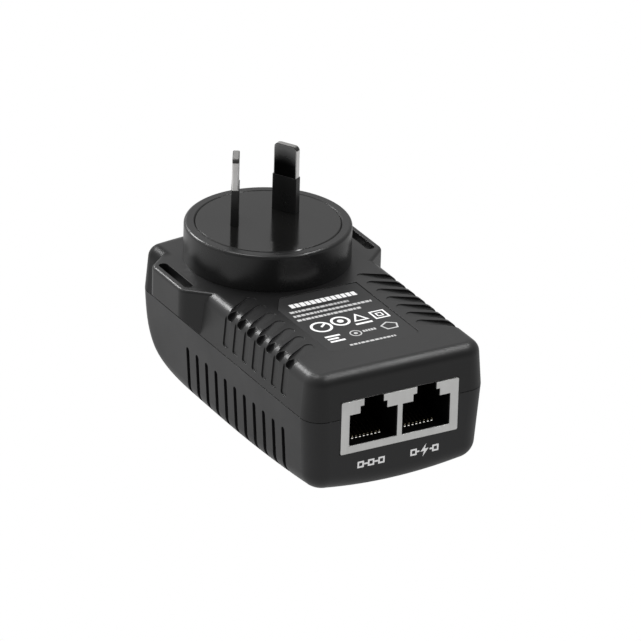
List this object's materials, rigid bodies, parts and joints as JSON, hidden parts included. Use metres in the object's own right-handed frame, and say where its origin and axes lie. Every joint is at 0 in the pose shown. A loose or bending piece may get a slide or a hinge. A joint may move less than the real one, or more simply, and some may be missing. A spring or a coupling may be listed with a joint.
{
  "type": "wall plug power over ethernet injector",
  "caption": "Wall-plug power adapter: black vented case, round boss with flat angled mains blades at one end, shielded modular data jacks at the other.",
  "frame": {"origin": "centre of the round outer face of the plug boss, the face that rests on the wall socket", "axes": "+Z out of that face along the blades, toward the wall; -Y toward the jack end; +X to the right when the jack end is looked at with the blades pointing up"},
  "size_m": [0.0544, 0.0866, 0.0593],
  "materials": {
    "upper_case": "satin moulded black",
    "lower_case": "satin moulded black",
    "boss_plastic": "smooth moulded black",
    "carrier_plastic": "polished moulded black",
    "sleeve_plastic": "black insulating sleeve",
    "blade_metal": "nickel plated brass",
    "active_wire": "brown insulation",
    "neutral_wire": "blue insulation",
    "rating_film": "printed film",
    "shield_tin": "tinned sheet",
    "jack_plastic": "black nylon",
    "contact_gold": "gold flashed bronze wire",
    "board_laminate": "green solder mask",
    "fuse_body": "ceramic tube with end caps",
    "varistor_coat": "dipped epoxy",
    "film_box": "potted box",
    "ferrite": "sintered ferrite",
    "magnet_wire": "enamelled copper",
    "chip_epoxy": "moulded epoxy",
    "can_sleeve": "shrink sleeve",
    "heatsink_alloy": "punched sheet",
    "bobbin_resin": "phenolic resin",
    "winding_tape": "polyester tape",
    "disc_coat": "dipped epoxy",
    "opto_epoxy": "white epoxy",
    "led_lens": "tinted resin lens",
    "chip_ceramic": "chip ceramic"
  },
  "bodies": {
    "case": {"upper_shell": "upper_case", "lower_shell": "lower_case", "plug_housing": "boss_plastic", "pin_carrier": "carrier_plastic", "pin_active": "blade_metal", "pin_neutral": "blade_metal", "pin_sleeve_active": "sleeve_plastic", "pin_sleeve_neutral": "sleeve_plastic", "mains_wire_active": "active_wire", "mains_wire_neutral": "neutral_wire", "label_plate": "rating_film", "port_shield": "shield_tin", "port_housing": "jack_plastic", "lan_contact_tails": "contact_gold", "poe_contact_tails": "contact_gold", "main_pcb": "board_laminate", "fuse": "fuse_body", "varistor": "varistor_coat", "x_capacitor": "film_box", "common_mode_choke_core": "ferrite", "common_mode_choke_winding": "magnet_wire", "bridge_rectifier": "chip_epoxy", "bulk_capacitor": "can_sleeve", "pwm_controller": "chip_epoxy", "switching_transistor": "chip_epoxy", "heatsink": "heatsink_alloy", "transformer_core": "ferrite", "transformer_bobbin": "bobbin_resin", "transformer_winding": "winding_tape", "y_capacitor": "disc_coat", "optocoupler": "opto_epoxy", "output_diode": "chip_epoxy", "output_capacitors": "can_sleeve", "output_inductor": "ferrite", "status_led": "led_lens", "smd_parts": "chip_ceramic"},
    "lan_contacts": {"lan_contact_springs": "contact_gold"},
    "poe_contacts": {"poe_contact_springs": "contact_gold"}
  },
  "joints": [
    {"name": "lan_contacts_flex", "type": "hinge", "parent": "case", "child": "lan_contacts", "pos_m": [-0.00698, -0.0608, -0.0273], "axis": [1, 0, 0], "range_deg": [-10, 0], "stiffness_Nm_per_rad": 0.15},
    {"name": "poe_contacts_flex", "type": "hinge", "parent": "case", "child": "poe_contacts", "pos_m": [0.00698, -0.0608, -0.0273], "axis": [1, 0, 0], "range_deg": [-10, 0], "stiffness_Nm_per_rad": 0.15}
  ]
}
